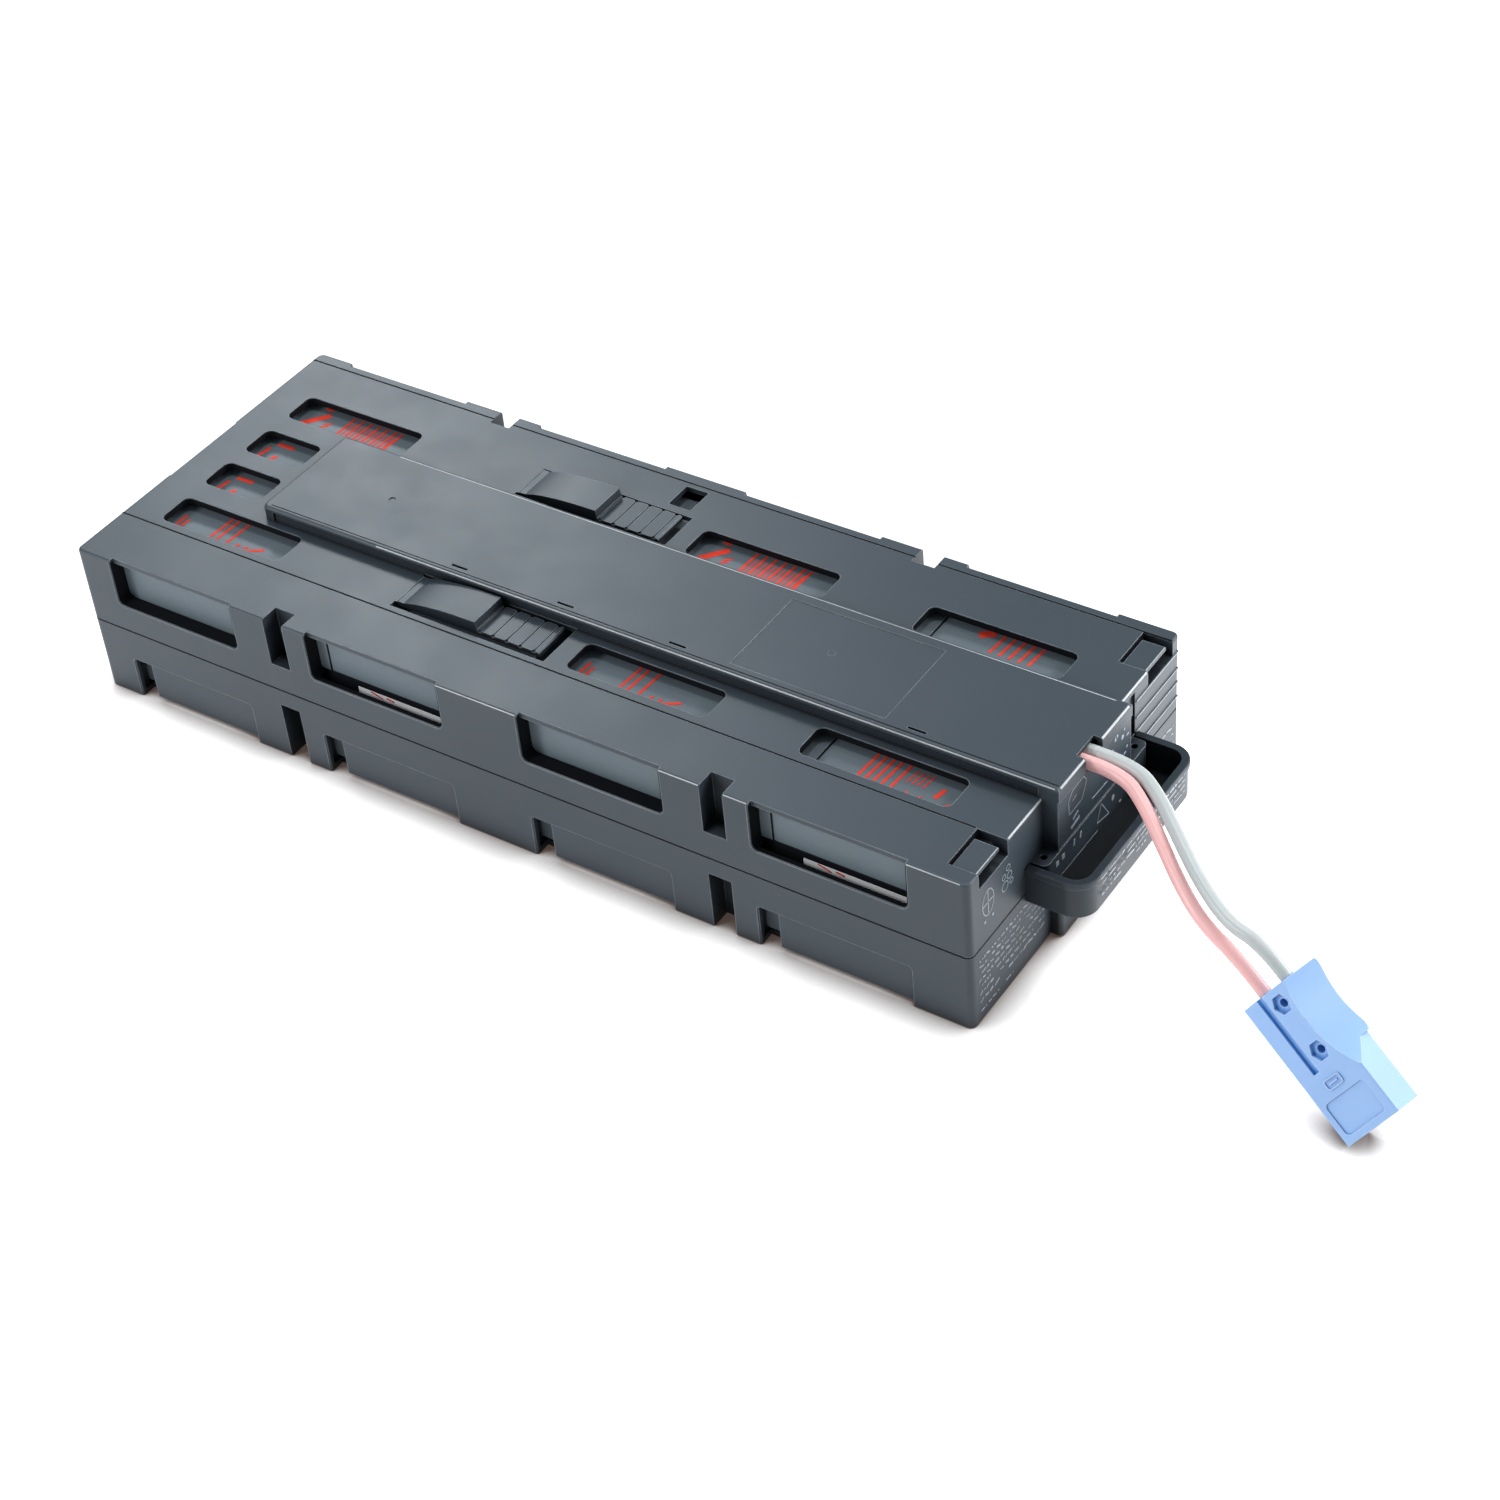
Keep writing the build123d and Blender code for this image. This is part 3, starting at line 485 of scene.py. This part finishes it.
# Pale strips on the rib edges: painted highlights.
RIB_RISE = 0.35
rib_highlights = [stroke((128.3, level), (162.6, level), 0.6) for level in (43.3, 50.7, 57.6, 66.0)]
tray_marks = rows_of_dashes((50.0, 118.0), (48.0, 45.2, 42.4, 39.6), 7.0, 0.8, 21, 0.3)
for name, marks, wall in (("end_relief", end_marks, SHELL_END),
                          ("ledge_relief", ledge_marks, LEDGE_END),
                          ("duct_relief", duct_marks, DUCT_END),
                          ("rib_painted_highlights", rib_highlights, SHELL_END + RIB_RISE),
                          ("tray_relief", tray_marks, TRAY_END)):
    add_prisms(name, marks, spot(wall, 0), CABLE_END, -0.05, 0.10, painted_relief_highlight)

# ------------------------------------------- painted shadow lines in joints and grooves, painted highlights on edges
# Painted shadow: a dark band in the seam between the two shells.
band_outer, band_inner = (
    rounded_rectangle((inset, SHELL_END - inset), (inset, WIDTH - inset), SHELL_CORNER - inset, 5)
    for inset in (-0.02, 0.35))
seam_band = [(band_outer[i - 1], band_outer[i], band_inner[i], band_inner[i - 1])
          for i in range(len(band_outer))]
add_prisms("seam_shadow_band", seam_band, spot(0, 0), UPWARD, SEAM - 0.5, SEAM + 0.5, shadow_line)

# Painted shadow: dark lines laid in the grooves of the plate and the duct.
top_gaps = [((0.6, 29.3), (421.4, 29.3))]
for x0, x1 in ((0.6, 102.8), (113.4, 317.8), (328.8, 434.4)):
    top_gaps.append(((x0, 158.9), (x1, 158.9)))
add_lines("plate_gaps", top_gaps, spot(0, 0, TOP), UPWARD, shadow_line, 0.85)
add_lines("duct_gap", [((62.0, 57.4), (440.5, 57.4))], spot(0, 0, DUCT_TOP), UPWARD,
          shadow_line, 0.5)

# Painted shadow: dark lines along the battery lid joints.
LID_LINE = 0.7
lid_lines = [joint + 0.4 for joint in LID_JOINTS]
add_lines("lid_joints_side", [((x, 3.0), (x, 66.6)) for x in lid_lines],
          spot(0, BATTERY_SIDE), FORWARD, shadow_line, LID_LINE, 0.24)
add_lines("lid_joints_top", [((x, 10.0), (x, 155.0)) for x in lid_lines],
          spot(0, 0, BATTERY_TOP), UPWARD, shadow_line, LID_LINE, 0.24)

# How far in from the faces the middle of a rounded edge lies
EDGE_MIDDLE = 0.35
DUCT_EDGE_MIDDLE = 0.44
DUCT_FRONT = 55.0
# Pale strips on rounded edges: painted highlights where the edges catch the light.
bright_spans = ((192.4, 231.4), (299.6, 317.6), (329.0, 339.4), (409.0, 431.5))
add_lines("front_edge_highlight", [((x0, 0.0), (x1, 0.0)) for x0, x1 in bright_spans],
          spot(0, EDGE_MIDDLE, TOP - EDGE_MIDDLE), FRONT_TILT, painted_edge_highlight, 0.45)
add_lines("duct_edge_highlight", [((120.0, 0.0), (440.0, 0.0))],
          spot(0, DUCT_FRONT + DUCT_EDGE_MIDDLE, DUCT_TOP - DUCT_EDGE_MIDDLE), FRONT_TILT,
          painted_edge_highlight, 0.5)
add_lines("duct_rear_highlight", [((90.0, 110.3), (436.0, 110.3))], spot(0, 0, DUCT_TOP), UPWARD,
          painted_edge_highlight, 0.4)
add_lines("plate_end_highlight", [((30.0, 0.0), (54.6, 0.0)), ((112.6, 0.0), (137.6, 0.0))],
          spot(SHELL_END - EDGE_MIDDLE, 0, TOP - EDGE_MIDDLE), END_TILT, painted_edge_highlight, 0.8)
add_lines("duct_end_highlight", [((57.0, 0.0), (75.2, 0.0)), ((88.9, 0.0), (110.2, 0.0))],
          spot(LEDGE_END - DUCT_EDGE_MIDDLE, 0, DUCT_TOP - DUCT_EDGE_MIDDLE), END_TILT,
          painted_edge_highlight, 0.9)
add_lines("tongue_highlight", [((433.5, 8.4), (433.5, 24.2)), ((433.5, 139.0), (433.5, 154.6))],
          spot(0, 0, TONGUE_TOP), UPWARD, painted_edge_highlight, 0.4)

# -------------------------------------- painted shade rims in the windows and round the stickers, lower side panels
SHADE_RIM_WIDTH = 0.1
RIM_HEAD = 72.4
PAST_HEAD = 90.0
BAND_REACH = 3.5
BAND_FOOT = 44.0
BAND_TOP = 52.2
PANEL_FOOT = 2.8
PANEL_TOP = 20.9
# How many of an open rim's bars lead down its left side
LEFT_BARS = 4

# Painted shade: dark rims inside the top windows, where their walls lie in shade.
top_shade_rims = []
for x_span, y_span in TOP_WINDOWS:
    top_shade_rims += outline(rounded_rectangle(x_span, y_span, TOP_WINDOW_CORNER), SHADE_RIM_WIDTH)
add_prisms("top_window_shade_rims", top_shade_rims, spot(0, 0), UPWARD, 70.5, 73.3, shadow_line)


def open_rim(x0, x1):
    """Bars along a side window's left side, its rounded foot and its right side."""
    rim = rounded_rectangle((x0, x1), (SIDE_SILL, PAST_HEAD), SIDE_WINDOW_CORNER)
    return outline([(x, min(z, RIM_HEAD)) for x, z in rim[9:] + rim[:1]], SHADE_RIM_WIDTH, False)


def dress_side(face, plane, wall, sign, stickers):
    """One long side's painted shade rims in its windows, painted shade bands round its stickers,
    and its lower panels.
    """
    shade_rims, sill_shade, bands, panels = [], [], [], []
    for number, (x0, x1) in enumerate(SIDE_WINDOWS):
        rim = open_rim(x0, x1)
        shade_rims += rim[:LEFT_BARS]
        panels.append(rectangle(x0 + 9.0, x1 + 0.5, PANEL_FOOT, PANEL_TOP))
        if number not in stickers:
            shade_rims += rim[LEFT_BARS:]
            continue
        sill_shade += rim[LEFT_BARS:]
        low, high = stickers[number]
        left, right = x0 - BAND_REACH, x1 + BAND_REACH
        bands.append(rectangle(left, right, STICKER_TOP, BAND_TOP))
        beside = (left, low) if low > x0 else (high, right)
        bands.append(rectangle(*beside, BAND_FOOT, STICKER_TOP))
    for name, shapes, near, far, material, slot in (
            ("window_shade_rims", shade_rims, 0.5, LID_SIDE - 0.05, shadow_line, "shell"),
            ("window_sill_shade", sill_shade, 0.5, 2.6, shadow_line, "shell"),
            ("sticker_shade", bands, LID_SIDE - 0.03, BATTERY_SIDE - 0.02, shadow_line, "battery"),
            ("lower_panels", panels, 0.8, 1.6, shell, "shell")):
        turned = [[(sign * x, z) for x, z in shape] for shape in shapes]
        add_prisms(f"{name}_{face}", turned, spot(0, wall), plane, -far, -near, material)


# The white strips' spans, by the number of the window that each one shows in
dress_side("front", FORWARD, 0.0, 1, {1: (143.0, 189.0), 3: (358.5, 404.5)})
dress_side("rear", BACKWARD, WIDTH, -1, {0: (10.5, 56.5), 2: (225.5, 271.5)})
sticker_marks = []
for x, _ in SIDE_WINDOWS[1::2]:
    sticker_marks.append(stroke((x + 25.0, 48.6), (x + 31.0, 46.8), 0.8))
    sticker_marks.append(stroke((x + 33.0, 48.0), (x + 37.0, 47.4), 0.9))
add_prisms("sticker_marks", sticker_marks, spot(0, LID_SIDE), FORWARD, -0.10, 0.0, red_ink)


# ------------------------------------------------------- floor and lights
FLOOR_REACH = 6.0
# Painted pools of light on the floor: the middle, how far each pool reaches and its strength
FLOOR_POOLS = (((-0.45, -0.22, 0.0), 0.42, 1.55), ((0.34, 0.17, 0.0), 0.26, 4.2))
# Place, point aimed at, size, watts and colour
LIGHTS = {
    "key": ((-1.0, 0.90, 0.98), (-0.1, 0.0, 0.05), (0.24, 0.24), 9.4, (0.90, 0.96, 1.0)),
    "high": ((-0.05, 0.14, 1.40), (-0.03, 0.0, 0.05), (0.16, 0.16), 5.0, (0.95, 0.98, 1.0)),
    "edge_strip": ((1.0, 0.95, 0.75), (0.2, 0.0, 0.05), (0.7, 0.4), 15.0, (0.96, 0.98, 1.0)),
    "front_strip": ((-0.75, -1.05, 1.0), (0.0, -0.08, 0.05), (0.5, 0.3), 10.0,
                    (0.98, 0.98, 1.0)),
    "front_low": ((-0.90, -1.20, 0.45), (-0.08, -0.08, 0.06), (0.3, 0.2), 4.5,
                  (0.96, 0.98, 1.0)),
    "plug_fill": ((0.80, 0.22, 0.55), (0.33, -0.05, 0.05), (0.2, 0.2), 2.2, (1.0, 0.96, 0.96))}


def add_floor():
    """A glowing white sweep with painted pools of light, and a painted warm-dark contact shadow
    where the part rests.
    """
    mesh = bpy.data.meshes.new("floor")
    corners = rectangle(-FLOOR_REACH, FLOOR_REACH, -FLOOR_REACH, FLOOR_REACH)
    mesh.from_pydata([(x, y, 0.0) for x, y in corners], [], [(0, 1, 2, 3)])
    s = Shader("floor_paint")
    # Painted contact shadow: ambient occlusion darkens and warms the floor's glow and colour near
    # the part.
    contact = s.node("ShaderNodeAmbientOcclusion", {"Distance": 20.0 * MM}, samples=16)
    open_share = s.spread(contact.outputs["AO"], 0.0, 1.0, 0.40, 0.88)
    glow = (1.0, 1.0, 1.01, 1.0)
    # Painted pools of light raise the glow around their middles.
    for middle, reach, lit in FLOOR_POOLS:
        away = s.node("ShaderNodeVectorMath", {0: s.place, 1: middle}, operation="DISTANCE")
        near = s.spread(away.outputs["Value"], 1.0, 0.0, 0.0, reach)
        glow = s.mix(near, glow, (lit, lit, lit * 1.02, 1.0))
    glow = s.mix(open_share, (0.06, 0.042, 0.034, 1.0), glow)
    s.put(s.surface.inputs["Emission Color"], glow)
    s.surface.inputs["Emission Strength"].default_value = 0.97
    s.put(s.surface.inputs["Base Color"],
          s.mix(open_share, (0.10, 0.08, 0.07, 1.0), (0.28, 0.28, 0.28, 1.0)))
    s.surface.inputs["Roughness"].default_value = 0.9
    s.surface.inputs["Specular IOR Level"].default_value = 0.1
    mesh.materials.append(s.material)
    floor = bpy.data.objects.new("floor", mesh)
    scene.collection.objects.link(floor)


def add_light(name, at, aim, size, power, colour):
    data = bpy.data.lights.new(name, "AREA")
    data.shape = "RECTANGLE"
    data.size, data.size_y = size
    data.energy = power
    data.color = colour
    light = bpy.data.objects.new(name, data)
    light.location = at
    light.rotation_euler = (Vector(aim) - Vector(at)).to_track_quat("-Z", "Y").to_euler()
    scene.collection.objects.link(light)


add_floor()
for name, settings in LIGHTS.items():
    add_light(name, *settings)
world = bpy.data.worlds.new("world")
world.use_nodes = True
world.node_tree.nodes["Background"].inputs["Color"].default_value = (0.88, 0.95, 1.0, 1.0)
world.node_tree.nodes["Background"].inputs["Strength"].default_value = 0.38
scene.world = world
scene.view_settings.view_transform = "Standard"
scene.view_settings.look = "None"
